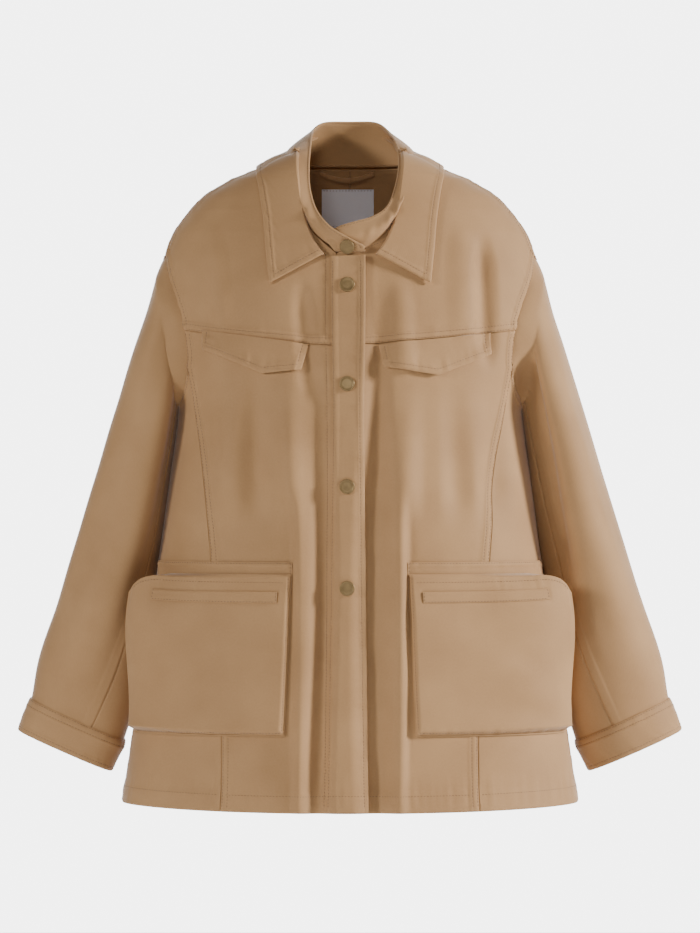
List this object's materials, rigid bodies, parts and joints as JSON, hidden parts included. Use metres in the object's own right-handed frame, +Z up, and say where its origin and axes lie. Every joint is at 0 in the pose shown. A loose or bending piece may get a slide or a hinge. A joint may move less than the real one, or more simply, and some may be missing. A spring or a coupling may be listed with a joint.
{
  "type": "work jacket",
  "caption": "Hip-length cotton work jacket with a funnel neckband, a fall collar, chest flaps, bellows lower pockets and a snap placket.",
  "frame": {"origin": "middle of the neck opening, level with the side-neck points, where a wearer's shoulders carry the jacket", "axes": "the front faces -Y, +X is the wearer's left, +Z is up"},
  "size_m": [0.721, 0.2565, 0.738],
  "materials": {
    "cloth": "smooth matt cotton twill",
    "label": "matt woven tape",
    "snap": "aged satin"
  },
  "bodies": {
    "root": {"back_L": "cloth", "back_R": "cloth", "front_L": "cloth", "front_R": "cloth", "side_front_L": "cloth", "side_front_R": "cloth", "front_yoke_L": "cloth", "front_yoke_R": "cloth", "placket": "cloth", "chest_flap_L": "cloth", "chest_flap_R": "cloth", "pocket_L": "cloth", "pocket_R": "cloth", "pocket_back_L": "cloth", "pocket_back_R": "cloth", "pocket_welt_L": "cloth", "pocket_welt_R": "cloth", "sleeve_top_L": "cloth", "sleeve_top_R": "cloth", "sleeve_under_L": "cloth", "sleeve_under_R": "cloth", "cuff_L": "cloth", "cuff_R": "cloth", "neckband": "cloth", "collar": "cloth", "hanger_loop": "cloth", "label": "label", "snap_1": "snap", "snap_2": "snap", "snap_3": "snap", "snap_4": "snap", "snap_5": "snap"}
  },
  "joints": []
}
